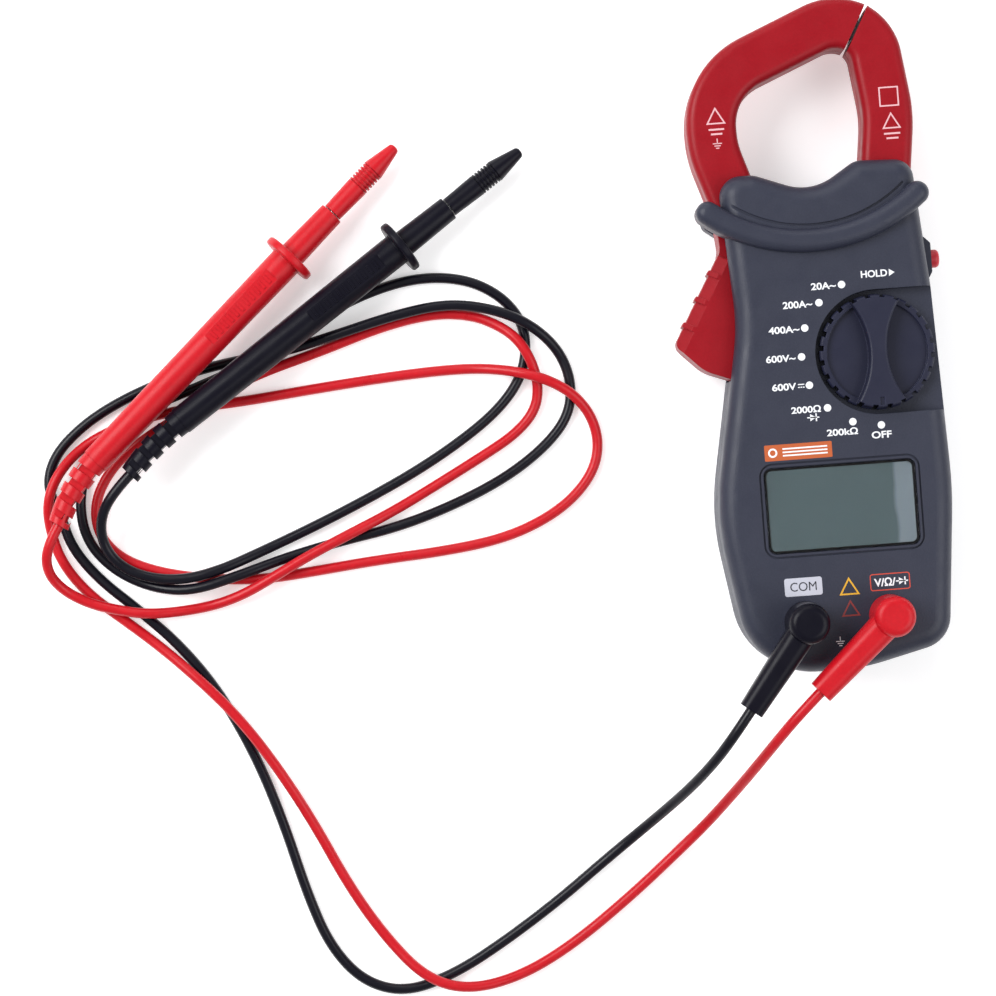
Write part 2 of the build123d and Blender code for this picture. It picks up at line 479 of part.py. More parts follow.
# ---- Hold button, held in by its collar, and its switch ----
button = Pos(HOLD_END - 4.5, HOLD_Y, PART_Z) * Rot(0, 90, 0) * Cylinder(2.6, 9.0)
button = fillet(button.faces().sort_by(Axis.X)[-1].edges(), 1.2)
button += Pos(HOLD_END - 8.4, HOLD_Y, PART_Z) * Rot(0, 90, 0) * Cylinder(3.3, 1.2)
write("hold_button", button)
write("hold_switch", box((24.7, 27.3), (HOLD_Y - 2.5, HOLD_Y + 2.5), (12.4, PCB_Z0))
      + Pos(27.5, HOLD_Y, PART_Z - 0.9) * Rot(0, 90, 0) * Cylinder(0.9, 0.8))


# ---- Plugs: moulded head with an arm, shroud and pin ----
def plug(at, direction, reach):
    """Head over the jack, with the arm that the cord leaves."""
    head = Pos(at[0], at[1], 37.4) * Cone(5.9, 5.7, 14.2)
    head = fillet(head.faces().sort_by(Axis.Z)[-1].edges(), 2.4)
    root = Plane(origin=Vector(*at, ARM_Z) + direction, z_dir=direction, x_dir=(0, 0, 1))
    arm = loft([root * RectangleRounded(9.6, 8.4, 3.2),
                root.offset(reach - 1.0) * RectangleRounded(6.8, 7.0, 2.6)])
    return head + arm + post(at, 4.15, 19.8, 31.0, 3.35) - post(at, 2.0, 10, 38.0)


plug_ends = {}
for name, at in JACKS.items():
    heading, reach = PLUG_ARM[name]
    direction = Vector(cos(radians(heading)), sin(radians(heading)), 0)
    write(f"{name}_plug", plug(at, direction, reach))
    pin = post(at, 2.0, 12.0, 38.0)
    write(f"{name}_plug_pin", chamfer(pin.faces().sort_by(Axis.Z)[0].edges(), 0.6))
    plug_ends[name] = Vector(*at, ARM_Z) + direction * (reach + CORD_GAP)


# ---- Probes: each about its own axis, with the flange at zero and +Z towards the tip ----
def probe_handle():
    """Handle with flat panels for the fingers, flange and collar, bored for the tip."""
    handle = Pos(0, 0, -HANDLE_L / 2) * Cone(4.1, 4.75, HANDLE_L)
    handle += Pos(0, 0, COLLAR_L / 2) * Cone(3.95, 3.6, COLLAR_L)
    flange = Cylinder(FLANGE_R, FLANGE_T)
    handle += fillet(flange.edges().filter_by(GeomType.CIRCLE), 0.8)
    for side in (-1, 1):
        handle -= Pos(side * 8.6, 0, -20) * Box(9.0, 4.4, 26)
    return handle - Pos(0, 0, COLLAR_L - 5) * Cylinder(1.0, 10.02)


def probe_tip():
    """Round rod with a pointed nose."""
    rod = Pos(0, 0, COLLAR_L + 4.6) * Cylinder(1.0, 29.2)
    return rod + Pos(0, 0, COLLAR_L + 20.2) * Cone(1.0, 0.15, 2.0)


def tip_cap():
    """Push-on cap: tapered body, ribbed neck and rounded point."""
    foot = COLLAR_L + 0.4
    neck = foot + CAP_BODY
    cap = Pos(0, 0, foot + CAP_BODY / 2) * Cone(2.9, CAP_R, CAP_BODY)
    cap += Pos(0, 0, neck + CAP_NECK / 2) * Cylinder(CAP_R - 0.5, CAP_NECK)
    for k in range(CAP_RIBS):
        cap += Pos(0, 0, neck + CAP_NECK * (k + 0.5) / CAP_RIBS) * Cylinder(CAP_R, 0.5)
    point = Pos(0, 0, neck + CAP_NECK + CAP_POINT / 2) * Cone(CAP_R + 0.1, 1.5, CAP_POINT)
    cap += fillet(point.faces().sort_by(Axis.Z)[-1].edges(), 1.2)
    return cap - Pos(0, 0, COLLAR_L + 11.5) * Cylinder(1.06, 24.0)


def rearward(heading):
    """Direction out of the back of a probe, at a heading in degrees."""
    turn, tilt = radians(heading), radians(PROBE_TILT)
    return Vector(-cos(turn) * cos(tilt), -sin(turn) * cos(tilt), sin(tilt))


def probe_boot(start, first, last):
    """Tapered boot that bends from one direction to another, with rings of notches."""
    chord = (first + last).normalized()
    planes = [Plane(origin=start, z_dir=first, x_dir=(0, 0, 1)),
              Plane(origin=start + chord * BOOT_L * 0.5, z_dir=chord, x_dir=(0, 0, 1)),
              Plane(origin=start + last * BOOT_L, z_dir=last, x_dir=(0, 0, 1))]
    boot = loft([plane * Circle(r) for plane, r in zip(planes, (3.85, 3.5, 3.1))])
    for k in range(BOOT_CUTS):
        run = BOOT_L * (k + 0.8) / (BOOT_CUTS + 0.4)
        ring = Plane(origin=start + chord * run, z_dir=chord, x_dir=(0, 0, 1))
        for turn in (0, 90, 180, 270):
            boot -= ring * Rot(0, 0, turn) * Pos(3.6, 0, 0) * Box(2.6, 5.2, 1.9)
    return boot


boot_ends = {}
for name, (flange_at, heading, bend) in PROBES.items():
    axis = Pos(*flange_at, PROBE_Z) * Rot(0, 0, heading) * Rot(0, PROBE_TILT, 0) * Rot(0, 90, 0)
    write(f"{name}_probe_handle", axis * probe_handle())
    write(f"{name}_probe_tip", axis * probe_tip())
    write(f"{name}_tip_cap", axis * tip_cap())
    start = (axis * Pos(0, 0, -HANDLE_L)).position
    last = rearward(heading + bend)
    write(f"{name}_probe_boot", probe_boot(start, rearward(heading), last))
    boot_ends[name] = start + last * (BOOT_L + CORD_GAP)


# ---- Cords: round tubes along their routes, rounded as far as the runs allow ----
def cord_path(points):
    """Path through the runs between points, with a round at each point."""
    runs = [b - a for a, b in zip(points, points[1:])]
    radii = [0.45 * min(before.length, after.length) / tan(radians(before.get_angle(after)) / 2)
             for before, after in zip(runs, runs[1:])]
    return FilletPolyline(*points, radius=radii)


for name, route in ROUTES.items():
    path = cord_path([plug_ends[name]] + [Vector(*p) for p in route] + [boot_ends[name]])
    tube = sweep(Plane(origin=path @ 0, z_dir=path % 0) * Circle(CORD_R), path)
    write(f"{name}_cord", tube)
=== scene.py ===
import math

import bmesh
import bpy
from mathutils import Matrix, Vector


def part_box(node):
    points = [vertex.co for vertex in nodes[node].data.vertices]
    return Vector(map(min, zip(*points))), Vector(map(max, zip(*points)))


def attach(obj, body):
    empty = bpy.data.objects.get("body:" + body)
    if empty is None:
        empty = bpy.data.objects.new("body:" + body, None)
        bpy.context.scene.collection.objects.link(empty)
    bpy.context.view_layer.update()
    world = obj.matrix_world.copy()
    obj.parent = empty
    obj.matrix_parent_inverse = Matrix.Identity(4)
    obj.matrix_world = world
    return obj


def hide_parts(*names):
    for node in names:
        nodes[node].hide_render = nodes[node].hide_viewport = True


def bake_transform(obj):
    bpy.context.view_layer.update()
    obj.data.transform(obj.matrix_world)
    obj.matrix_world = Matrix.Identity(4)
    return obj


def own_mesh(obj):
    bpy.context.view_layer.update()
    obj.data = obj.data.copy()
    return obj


# Looks of a clamp meter with two test leads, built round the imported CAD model, in metres.
MM = 0.001

# Camera: straight down on the table, turned a little
VIEW_POINT = (-0.0922, -0.0393)
VIEW_HEIGHT = 0.9
VIEW_WIDTH = 0.2891          # width of table in view
VIEW_TURN = math.radians(-4.3)
SENSOR = 36.0

# Cords
CORD_D = 0.003
FLOOR = CORD_D / 2           # centre line of a cord on the table
OVER = 0.005                 # centre line of a cord that lies on another

TABLE_GLOW = 0.38            # the table is lit from below, so that shadows on it stay faint

# Coil between the trigger's lever and its rib in the case
COIL_X = (-0.0142, -0.0068)
COIL_Y, COIL_Z = 0.020, 0.015
COIL_R, COIL_WIRE, COIL_TURNS = 0.0023, 0.0002, 4
COIL_STEPS = 24              # points in each turn

# Finger ribs on the flat panels of the probe handles
PROBE_Z = 0.008012           # axis at the flange
PROBE_TILT = math.radians(3.4)
PROBES = {"red": ((-0.1470, 0.0340), math.radians(42.4)),
          "black": ((-0.1149, 0.0349), math.radians(34.5))}
RIBS, RIB_PITCH, RIB_START = 11, 0.0022, -0.0090
RIB_SIZE = (0.0009, 0.0028, 0.00045)
PANEL_TOP = 0.0041           # panel above the axis

# Printed marks
FACE_Z = 0.030               # dial side of the case
JAW_Z = 0.023                # front of the jaws
INK = 0.00003                # height of the ink above its surface
CAP = 0.0020                 # height of the lettering
WEIGHT = 0.026               # how much the lettering is thickened
DOT_R = 0.00105              # dot beside each range

# Routes of the cords, from the plug to the probe's boot
RED_ROUTE = [
    (-0.00681, -0.09994, 0.0380),
    (-0.0132, -0.1057, 0.0380), (-0.0196, -0.1132, 0.0325), (-0.0256, -0.1210, 0.0240),
    (-0.0318, -0.1289, 0.0140), (-0.0392, -0.1374, 0.0055), (-0.0485, -0.1458, FLOOR),
    (-0.0620, -0.1568, FLOOR), (-0.0800, -0.1698, FLOOR), (-0.0960, -0.1780, FLOOR),
    (-0.1115, -0.1803, OVER), (-0.1235, -0.1758, OVER), (-0.1340, -0.1640, FLOOR),
    (-0.1435, -0.1485, FLOOR), (-0.1530, -0.1280, FLOOR), (-0.1630, -0.1095, OVER),
    (-0.1720, -0.0965, OVER), (-0.1810, -0.0863, OVER), (-0.1925, -0.0753, FLOOR),
    (-0.2030, -0.0663, FLOOR), (-0.2125, -0.0584, FLOOR), (-0.2194, -0.0490, FLOOR),
    (-0.2222, -0.0396, FLOOR), (-0.2222, -0.0310, OVER), (-0.2186, -0.0230, OVER),
    (-0.2120, -0.0160, FLOOR), (-0.2030, -0.0115, FLOOR), (-0.1920, -0.0083, FLOOR),
    (-0.1780, -0.0066, FLOOR), (-0.1630, -0.0058, FLOOR), (-0.1430, -0.0038, FLOOR),
    (-0.1220, -0.0020, FLOOR), (-0.1060, -0.0012, FLOOR), (-0.0955, -0.0014, 0.0022),
    (-0.0875, -0.0026, 0.0050), (-0.0806, -0.0044, 0.0069), (-0.0742, -0.0070, 0.0069),
    (-0.0680, -0.0112, 0.0052), (-0.0634, -0.0176, 0.0022), (-0.0618, -0.0256, FLOOR),
    (-0.0640, -0.0336, FLOOR), (-0.0706, -0.0412, FLOOR), (-0.0800, -0.0470, FLOOR),
    (-0.0920, -0.0512, FLOOR), (-0.1080, -0.0534, FLOOR), (-0.1280, -0.0546, FLOOR),
    (-0.1460, -0.0564, FLOOR), (-0.1620, -0.0578, FLOOR), (-0.1780, -0.0564, FLOOR),
    (-0.1920, -0.0534, FLOOR), (-0.2026, -0.0486, FLOOR), (-0.2086, -0.0410, FLOOR),
    (-0.2088, -0.0316, FLOOR), (-0.2036, -0.0226, FLOOR), (-0.1950, -0.0156, FLOOR),
    (-0.1830, -0.0094, OVER), (-0.1715, -0.0036, OVER), (-0.1580, 0.0020, FLOOR),
    (-0.1400, 0.0070, FLOOR), (-0.1220, 0.0128, FLOOR), (-0.1070, 0.0154, FLOOR),
    (-0.0960, 0.0142, FLOOR), (-0.0884, 0.0106, 0.0030), (-0.0830, 0.0060, OVER),
    (-0.0796, -0.0004, OVER), (-0.0780, -0.0078, 0.0026), (-0.0796, -0.0150, FLOOR),
    (-0.0860, -0.0214, FLOOR), (-0.0960, -0.0270, FLOOR), (-0.1100, -0.0344, FLOOR),
    (-0.1230, -0.0410, FLOOR), (-0.1350, -0.0462, OVER), (-0.1475, -0.0516, OVER),
    (-0.1585, -0.0572, OVER), (-0.1675, -0.0616, 0.0040), (-0.1765, -0.0642, FLOOR),
    (-0.1860, -0.0652, 0.0026), (-0.1955, -0.0652, OVER), (-0.2040, -0.0634, OVER),
    (-0.2122, -0.0608, 0.0054), (-0.2192, -0.0564, 0.0070), (-0.2228, -0.0506, 0.0110),
    (-0.2219, -0.0437, 0.0142),
    (-0.21797, -0.03769, 0.01403)]
BLACK_ROUTE = [
    (-0.02648, -0.10355, 0.0380),
    (-0.0312, -0.1097, 0.0380), (-0.0368, -0.1172, 0.0320), (-0.0436, -0.1248, 0.0230),
    (-0.0510, -0.1318, 0.0130), (-0.0590, -0.1386, 0.0050), (-0.0690, -0.1462, FLOOR),
    (-0.0830, -0.1566, FLOOR), (-0.0990, -0.1670, FLOOR), (-0.1140, -0.1754, FLOOR),
    (-0.1290, -0.1802, FLOOR), (-0.1415, -0.1762, FLOOR), (-0.1505, -0.1650, FLOOR),
    (-0.1560, -0.1490, FLOOR), (-0.1610, -0.1290, FLOOR), (-0.1675, -0.1090, FLOOR),
    (-0.1765, -0.0900, FLOOR), (-0.1870, -0.0752, FLOOR), (-0.1985, -0.0638, FLOOR),
    (-0.2092, -0.0542, FLOOR), (-0.2164, -0.0444, FLOOR), (-0.2188, -0.0352, FLOOR),
    (-0.2224, -0.0262, FLOOR), (-0.2194, -0.0174, FLOOR), (-0.2110, -0.0096, FLOOR),
    (-0.2000, -0.0034, FLOOR), (-0.1860, 0.0018, FLOOR), (-0.1700, 0.0054, FLOOR),
    (-0.1520, 0.0074, FLOOR), (-0.1360, 0.0110, OVER), (-0.1180, 0.0156, OVER),
    (-0.1030, 0.0178, OVER), (-0.0900, 0.0154, OVER), (-0.0795, 0.0104, OVER),
    (-0.0716, 0.0026, FLOOR), (-0.0684, -0.0070, FLOOR), (-0.0698, -0.0166, FLOOR),
    (-0.0764, -0.0246, FLOOR), (-0.0880, -0.0328, FLOOR), (-0.1030, -0.0396, FLOOR),
    (-0.1210, -0.0454, FLOOR), (-0.1390, -0.0484, FLOOR), (-0.1550, -0.0520, FLOOR),
    (-0.1690, -0.0562, OVER), (-0.1830, -0.0596, OVER), (-0.1950, -0.0574, FLOOR),
    (-0.2050, -0.0516, FLOOR), (-0.2120, -0.0428, FLOOR), (-0.2134, -0.0318, FLOOR),
    (-0.2104, -0.0210, FLOOR), (-0.2035, -0.0128, OVER), (-0.1940, -0.0066, OVER),
    (-0.1810, -0.0022, FLOOR), (-0.1660, 0.0026, OVER), (-0.1540, 0.0092, OVER),
    (-0.1400, 0.0166, FLOOR), (-0.1260, 0.0228, FLOOR), (-0.1110, 0.0262, FLOOR),
    (-0.0970, 0.0248, FLOOR), (-0.0868, 0.0190, FLOOR), (-0.0812, 0.0108, FLOOR),
    (-0.0808, 0.0020, FLOOR), (-0.0836, -0.0060, FLOOR), (-0.0900, -0.0136, FLOOR),
    (-0.1000, -0.0210, FLOOR), (-0.1140, -0.0292, FLOOR), (-0.1300, -0.0368, FLOOR),
    (-0.1460, -0.0436, FLOOR), (-0.1610, -0.0494, FLOOR), (-0.1740, -0.0542, OVER),
    (-0.1855, -0.0562, OVER), (-0.1960, -0.0544, OVER), (-0.2032, -0.0500, 0.0056),
    (-0.2068, -0.0436, 0.0074), (-0.2062, -0.0362, 0.0114), (-0.2017, -0.0295, 0.0142),
    (-0.19662, -0.02481, 0.01403)]


# ---- Materials ----
def srgb(red, green, blue):
    """Linear colour from display values of 0 to 255."""
    linear = [c / 255 / 12.92 if c < 11 else ((c / 255 + 0.055) / 1.055) ** 2.4
              for c in (red, green, blue)]
    return (*linear, 1.0)


def shade(colour, factor):
    """The colour made lighter or darker."""
    return (*(min(1.0, c * factor) for c in colour[:3]), 1.0)


class Surface:
    """A Principled material under construction, with its texture in the object's own space."""

    def __init__(self, name):
        self.material = bpy.data.materials.new(name)
        self.material.use_nodes = True
        self.tree = self.material.node_tree
        self.shader = self.tree.nodes["Principled BSDF"]
        self.place = self.add("TexCoord").outputs["Object"]

    def add(self, kind, **settings):
        """New node of a kind, with its settings."""
        node = self.tree.nodes.new("ShaderNode" + kind)
        for key, value in settings.items():
            setattr(node, key, value)
        return node

    def feed(self, node, **inputs):
        """Set a node's inputs to values, or link them to other sockets."""
        for key, value in inputs.items():
            socket = node.inputs[key.replace("_", " ")]
            if isinstance(value, bpy.types.NodeSocket):
                self.tree.links.new(value, socket)
            else:
                socket.default_value = value
        return node

    def noise(self, size, detail=2.0, stretch=None):
        """Noise with features of about that size."""
        place = self.place
        if stretch:
            mapping = self.feed(self.add("Mapping"), Vector=place, Scale=stretch)
            place = mapping.outputs[0]
        node = self.feed(self.add("TexNoise"), Vector=place, Scale=1 / size, Detail=detail)
        return node.outputs["Fac"]

    def remap(self, value, low, high, to_low, to_high):
        """Value rescaled between two ranges, and clamped."""
        node = self.feed(self.add("MapRange"), Value=value, From_Min=low, From_Max=high,
                         To_Min=to_low, To_Max=to_high)
        return node.outputs[0]

    def mix(self, factor, first, second):
        """Colour between two colours."""
        node = self.add("Mix", data_type="RGBA")
        for socket, value in zip((node.inputs[0], node.inputs[6], node.inputs[7]),
                                 (factor, first, second)):
            if isinstance(value, bpy.types.NodeSocket):
                self.tree.links.new(value, socket)
            else:
                socket.default_value = value
        return node.outputs[2]

    def edge(self, radius):
        """Rounded normal of the edges, and a mask that is 1 on a sharp edge."""
        bevel = self.feed(self.add("Bevel", samples=4), Radius=radius)
        dot = self.add("VectorMath", operation="DOT_PRODUCT")
        self.tree.links.new(bevel.outputs[0], dot.inputs[0])
        self.tree.links.new(self.add("NewGeometry").outputs["Normal"], dot.inputs[1])
        return bevel.outputs[0], self.remap(dot.outputs["Value"], 1.0, 0.75, 0.0, 1.0)

    def bump(self, height, distance, normal=None):
        """Bump from a height, on a normal."""
        node = self.feed(self.add("Bump"), Height=height, Distance=distance, Strength=1.0)
        if normal is not None:
            self.feed(node, Normal=normal)
        return node.outputs[0]


def moulded(name, colour, roughness, grain=0.0004, depth=0.00002, mottle=0.10,
            edge=0.0003, edge_highlight=0.35, specular=0.5):
    """Moulded plastic: fine grain, faint clouding, uneven gloss and a painted highlight that lightens the
    edges.
    """
    s = Surface(name)
    normal, mask = s.edge(edge) if edge else (None, 0.0)
    cloud = s.mix(s.noise(0.012, 3.0), shade(colour, 1 - mottle), shade(colour, 1 + mottle))
    fine = s.noise(grain, 3.0)
    tint = s.mix(s.remap(fine, 0.35, 0.75, 0.0, 0.5), cloud, shade(colour, 1.25))
    # Painted highlight: the edge mask, broken up by this noise, lightens the colour towards 2.4 times
    # itself
    highlight_breakup = s.remap(s.noise(0.003, 4.0), 0.35, 0.7, 0.3, 1.0)
    highlight_amount = 0.0
    if edge:
        highlight_mask = s.add("Math", operation="MULTIPLY")
        s.tree.links.new(mask, highlight_mask.inputs[0])
        s.tree.links.new(highlight_breakup, highlight_mask.inputs[1])
        highlight_amount = s.remap(highlight_mask.outputs[0], 0.0, 1.0, 0.0, edge_highlight)
    s.feed(s.shader, Base_Color=s.mix(highlight_amount, tint, shade(colour, 2.4)),
           Roughness=s.remap(s.noise(0.006, 4.0), 0.3, 0.7, roughness - 0.06, roughness + 0.06),
           Normal=s.bump(fine, depth, normal), Specular_IOR_Level=specular)
    return s.material


def metal(name, colour, roughness, brush=(1, 1, 12)):
    """Turned or plated metal with fine marks."""
    s = Surface(name)
    normal, _ = s.edge(0.00015)
    marks = s.noise(0.0006, 3.0, brush)
    s.feed(s.shader, Metallic=1.0, Normal=s.bump(marks, 0.000006, normal),
           Base_Color=s.mix(s.noise(0.004), shade(colour, 0.85), colour),
           Roughness=s.remap(marks, 0.3, 0.7, roughness - 0.05, roughness + 0.1))
    return s.material


def ink(name, colour):
    """Screen-printed ink, a little uneven."""
    s = Surface(name)
    s.feed(s.shader, Roughness=0.5, Base_Color=s.mix(s.noise(0.0005, 3.0), shade(colour, 0.9), colour),
           Normal=s.bump(s.noise(0.0003, 2.0), 0.000008))
    return s.material


def clear_lens(name):
    """Hard-coated clear window with faint haze."""
    s = Surface(name)
    normal, _ = s.edge(0.0002)
    s.feed(s.shader, Base_Color=srgb(238, 243, 241), Transmission_Weight=1.0, IOR=1.45, Normal=normal,
           Roughness=s.remap(s.noise(0.01, 4.0), 0.3, 0.8, 0.03, 0.10))
    return s.material


def lcd(name, high):
    """Blank liquid crystal panel with a painted reflection, a lighter band at its right end."""
    s = Surface(name)
    split = s.add("SeparateXYZ")
    s.feed(split, Vector=s.place)
    wander = s.remap(s.noise(0.009, 1.0), 0.3, 0.7, -0.0004, 0.0004)
    across = s.add("Math", operation="ADD")
    s.tree.links.new(split.outputs["X"], across.inputs[0])
    s.tree.links.new(wander, across.inputs[1])
    # Painted reflection: a lighter band across the right end of the panel, with a wandering edge
    reflection_band = s.remap(across.outputs[0], high.x - 0.0056, high.x - 0.0044, 0.0, 1.0)
    panel = s.mix(s.noise(0.006, 3.0), srgb(91, 109, 117), srgb(99, 117, 125))
    s.feed(s.shader, Base_Color=s.mix(reflection_band, panel, srgb(154, 163, 177)), Roughness=0.35,
           Normal=s.bump(s.noise(0.0003), 0.000004))
    return s.material


def wound(name, colour):
    """Enamelled wire wound round a bobbin, with painted shade in the grooves between its turns."""
    s = Surface(name)
    turns = s.feed(s.add("TexWave", bands_direction="X"), Vector=s.place, Scale=800.0, Distortion=0.2)
    # Painted shade: the colour falls to 0.35 of itself in the grooves between turns, which the bump also
    # sinks
    s.feed(s.shader, Metallic=0.7, Roughness=0.3,
           Base_Color=s.mix(turns.outputs["Fac"], shade(colour, 0.35), colour),
           Normal=s.bump(turns.outputs["Fac"], 0.0001))
    return s.material


CASE_GREY = srgb(42, 45, 60)
JAW_RED = srgb(141, 9, 23)
LEAD_RED = srgb(184, 15, 28)
LEAD_BLACK = srgb(10, 9, 20)

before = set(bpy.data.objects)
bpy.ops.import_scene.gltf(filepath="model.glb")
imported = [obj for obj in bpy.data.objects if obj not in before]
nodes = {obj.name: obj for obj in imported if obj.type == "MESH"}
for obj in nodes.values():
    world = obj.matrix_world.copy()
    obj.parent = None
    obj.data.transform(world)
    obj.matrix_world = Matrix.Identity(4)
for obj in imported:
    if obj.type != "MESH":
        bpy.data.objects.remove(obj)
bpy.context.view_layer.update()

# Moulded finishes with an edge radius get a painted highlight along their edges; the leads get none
FINISHES = {
    "case_grey": moulded("case_grey", CASE_GREY, 0.44, grain=0.00045, depth=0.00006,
                          specular=0.35),
    "jaw_red": moulded("jaw_red", JAW_RED, 0.40, grain=0.0006, depth=0.00001, specular=0.2),
    "core_steel": metal("core_steel", srgb(150, 152, 156), 0.4),
    "pin_steel": metal("pin_steel", srgb(205, 206, 210), 0.22),
    "spring_steel": metal("spring_steel", srgb(190, 192, 196), 0.3),
    "natural_nylon": moulded("natural_nylon", srgb(222, 216, 200), 0.5),
    "copper_wire": wound("copper_wire", srgb(214, 122, 66)),
    # The knob's edges get the full painted highlight
    "knob_black": moulded("knob_black", srgb(28, 30, 50), 0.42, grain=0.0003, depth=0.00002, edge=0.0005,
                          edge_highlight=1.0, specular=0.3),
    "contact_brass": metal("contact_brass", srgb(214, 178, 104), 0.25),
    "button_red": moulded("button_red", srgb(190, 24, 44), 0.4, depth=0.00001),
    "board_green": moulded("board_green", srgb(22, 92, 52), 0.3, grain=0.002, depth=0.00002),
    "chip_black": moulded("chip_black", srgb(34, 34, 36), 0.6),
    "resistor_brown": moulded("resistor_brown", srgb(122, 84, 52), 0.35),
    "lens_clear": clear_lens("lens_clear"),
    "lcd_grey": lcd("lcd_grey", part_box("display_panel")[1]),
    "battery_can": moulded("battery_can", srgb(64, 66, 74), 0.3),
    "plastic_black": moulded("plastic_black", srgb(10, 9, 21), 0.34, grain=0.0008, depth=0.00001,
                             specular=0.15),
    "plastic_red": moulded("plastic_red", LEAD_RED, 0.36, grain=0.0008, depth=0.00001, specular=0.25),
    "lead_black": moulded("lead_black", LEAD_BLACK, 0.3, grain=0.0012, depth=0.00001, edge=0,
                          specular=0.25),
    "lead_red": moulded("lead_red", LEAD_RED, 0.33, grain=0.0012, depth=0.00001, edge=0, specular=0.3),
}
for node in nodes.values():
    node.data.materials[0] = FINISHES[node.data.materials[0].name.split(".")[0]]


# ---- Camera, light and floor ----
camera = bpy.data.objects.new("camera", bpy.data.cameras.new("camera"))
bpy.context.scene.collection.objects.link(camera)
camera.location = (*VIEW_POINT, VIEW_HEIGHT)
camera.rotation_euler = (0, 0, VIEW_TURN)
camera.data.sensor_width = SENSOR
camera.data.lens = SENSOR * VIEW_HEIGHT / VIEW_WIDTH
bpy.context.scene.camera = camera
bpy.context.scene.view_settings.view_transform = "Standard"

world = bpy.data.worlds.new("studio")
world.use_nodes = True
world.node_tree.nodes["Background"].inputs["Color"].default_value = (1, 1, 1, 1)
world.node_tree.nodes["Background"].inputs["Strength"].default_value = 0.45
bpy.context.scene.world = world


def soft_light(name, at, size, power):
    """Square softbox that points at the middle of the view."""
    light = bpy.data.lights.new(name, "AREA")
    light.size = size
    light.energy = power
    lamp = bpy.data.objects.new(name, light)
    bpy.context.scene.collection.objects.link(lamp)
    lamp.location = at
    aim = Vector((*VIEW_POINT, 0)) - Vector(at)
    lamp.rotation_euler = aim.to_track_quat("-Z", "Y").to_euler()


soft_light("key_light", (-0.80, 0.35, 0.85), 0.7, 13)
soft_light("fill_light", (0.75, -0.30, 0.95), 0.9, 7)
soft_light("back_light", (-0.10, 1.00, 0.60), 0.7, 3)

floor_mesh = bpy.data.meshes.new("floor")
half, drop = 3.0, -0.00005
floor_mesh.from_pydata([(-half, -half, drop), (half, -half, drop), (half, half, drop), (-half, half, drop)],
                       [], [(0, 1, 2, 3)])
floor = bpy.data.objects.new("floor", floor_mesh)
bpy.context.scene.collection.objects.link(floor)
pale = Surface("pale_floor")
pale.feed(pale.shader, Roughness=0.8, Specular_IOR_Level=0.2, Emission_Color=(1, 1, 1, 1),
          Emission_Strength=TABLE_GLOW,
          Base_Color=pale.mix(pale.noise(0.2), srgb(240, 240, 241), srgb(244, 244, 245)))
floor_mesh.materials.append(pale.material)


# ---- Meshes ----
def mesh_of(curve):
    """Mesh of a curve or of lettering as it stands."""
    carrier = bpy.data.objects.new(curve.name, curve)
    mesh = bpy.data.meshes.new_from_object(carrier)
    bpy.data.objects.remove(carrier)
    return mesh


def piece(name, mesh, finish, body, smooth=False):
    """Object in the frame that rides on a body."""
    obj = bpy.data.objects.new(name, mesh)
    bpy.context.scene.collection.objects.link(obj)
    mesh.materials.clear()
    mesh.materials.append(finish)
    if smooth:
        mesh.polygons.foreach_set("use_smooth", [True] * len(mesh.polygons))
    if body:
        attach(obj, body)
    return obj


# ---- Cords ----
def cord(colour, route):
    """Lead that lies along a route, in place of the CAD cord."""
    line = bpy.data.curves.new(f"{colour}_line", "CURVE")
    line.dimensions = "3D"
    line.resolution_u = 10
    line.twist_mode = "Z_UP"
    spline = line.splines.new("NURBS")
    spline.points.add(len(route) - 1)
    for point, place in zip(spline.points, route):
        point.co = (*place, 1.0)
    spline.order_u = 3
    spline.use_endpoint_u = True
    path = [v.co.copy() for v in mesh_of(line).vertices]
    line.bevel_depth = CORD_D / 2
    line.bevel_resolution = 5
    line.use_fill_caps = True
    lead = piece(f"{colour}_lead", mesh_of(line), FINISHES[f"lead_{colour}"], None,
                 smooth=True)
    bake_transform(lead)
    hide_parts(f"{colour}_cord")


cord("red", RED_ROUTE)
cord("black", BLACK_ROUTE)


# ---- Trigger's spring ----
def trigger_coil():
    """Wound spring between the trigger's lever and its rib in the case."""
    line = bpy.data.curves.new("coil_line", "CURVE")
    line.dimensions = "3D"
    steps = COIL_STEPS * COIL_TURNS
    spline = line.splines.new("POLY")
    spline.points.add(steps)
    for i, point in enumerate(spline.points):
        turn = 2 * math.pi * COIL_TURNS * i / steps
        x = COIL_X[0] + (COIL_X[1] - COIL_X[0]) * i / steps
        point.co = (x, COIL_Y + COIL_R * math.cos(turn), COIL_Z + COIL_R * math.sin(turn), 1.0)
    line.bevel_depth = COIL_WIRE
    line.bevel_resolution = 2
    line.use_fill_caps = True
    coil = piece("trigger_coil", mesh_of(line), FINISHES["spring_steel"], "root", smooth=True)
    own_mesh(coil)
    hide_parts("trigger_spring")


trigger_coil()


# ---- Finger ribs ----
def finger_ribs(colour):
    """Moulded ribs across the flat upper panel of a handle."""
    (x, y), heading = PROBES[colour]
    axis = (Matrix.Translation((x, y, PROBE_Z)) @ Matrix.Rotation(heading, 4, "Z")
            @ Matrix.Rotation(PROBE_TILT, 4, "Y"))
    ribs = bmesh.new()
    for k in range(RIBS):
        place = Matrix.Translation((RIB_START - k * RIB_PITCH, 0, PANEL_TOP))
        bmesh.ops.create_cube(ribs, size=1.0, matrix=axis @ place @ Matrix.Diagonal((*RIB_SIZE, 1)))
    mesh = bpy.data.meshes.new(f"{colour}_finger_ribs")
    ribs.to_mesh(mesh)
    ribs.free()
    piece(f"{colour}_finger_ribs", mesh, FINISHES[f"plastic_{colour}"], "root")


finger_ribs("red")
finger_ribs("black")


